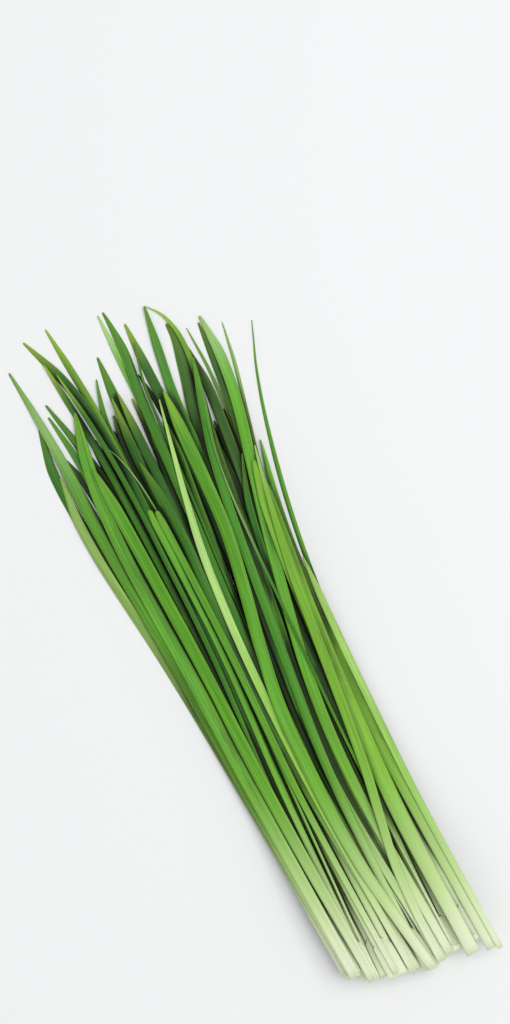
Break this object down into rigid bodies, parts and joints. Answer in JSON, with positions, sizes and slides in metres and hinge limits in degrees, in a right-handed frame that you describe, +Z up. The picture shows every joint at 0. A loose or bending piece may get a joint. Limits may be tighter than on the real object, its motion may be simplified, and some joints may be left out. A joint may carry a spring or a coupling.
{
  "type": "chive bunch",
  "caption": "Loose bunch of fresh cut chives lying flat, long narrow flat leaves fanned out towards their tips, for a kitchen or food scene.",
  "frame": {"origin": "centre of the bunch's footprint on the surface it lies on", "axes": "+Y along the leaves from the cut ends to the tips, +Z up, +X to the right seen from above"},
  "size_m": [0.0926, 0.2764, 0.0159],
  "materials": {
    "leaf_pale": "satin",
    "leaf_bright": "satin",
    "leaf_fresh": "satin",
    "leaf_mid": "satin",
    "leaf_deep": "satin",
    "leaf_dark": "satin"
  },
  "bodies": {
    "root": {"leaf_01": "leaf_fresh", "leaf_02": "leaf_deep", "leaf_03": "leaf_pale", "leaf_04": "leaf_fresh", "leaf_05": "leaf_deep", "leaf_06": "leaf_fresh", "leaf_07": "leaf_deep", "leaf_08": "leaf_bright", "leaf_09": "leaf_dark", "leaf_10": "leaf_mid", "leaf_11": "leaf_mid", "leaf_12": "leaf_fresh", "leaf_13": "leaf_fresh", "leaf_14": "leaf_deep", "leaf_15": "leaf_dark", "leaf_16": "leaf_pale", "leaf_17": "leaf_fresh", "leaf_18": "leaf_deep", "leaf_19": "leaf_mid", "leaf_20": "leaf_bright", "leaf_21": "leaf_dark", "leaf_22": "leaf_mid", "leaf_23": "leaf_fresh", "leaf_24": "leaf_fresh", "leaf_25": "leaf_bright", "leaf_26": "leaf_fresh", "leaf_27": "leaf_deep", "leaf_28": "leaf_mid", "leaf_29": "leaf_mid", "leaf_30": "leaf_mid", "leaf_31": "leaf_fresh", "leaf_32": "leaf_mid", "leaf_33": "leaf_bright", "leaf_34": "leaf_bright", "leaf_35": "leaf_pale", "pair_01": "leaf_fresh", "pair_02": "leaf_mid", "pair_03": "leaf_dark", "pair_04": "leaf_mid", "pair_05": "leaf_mid", "pair_06": "leaf_deep", "pair_07": "leaf_dark", "pair_08": "leaf_mid", "pair_09": "leaf_mid", "shoot_01": "leaf_dark", "shoot_02": "leaf_deep", "shoot_03": "leaf_dark", "shoot_04": "leaf_deep", "shoot_05": "leaf_dark", "shoot_06": "leaf_deep", "shoot_07": "leaf_dark", "shoot_08": "leaf_deep", "shoot_09": "leaf_dark", "shoot_10": "leaf_deep", "shoot_11": "leaf_dark", "shoot_12": "leaf_deep", "shoot_13": "leaf_dark", "shoot_14": "leaf_deep", "shoot_15": "leaf_dark", "shoot_16": "leaf_deep"}
  },
  "joints": []
}
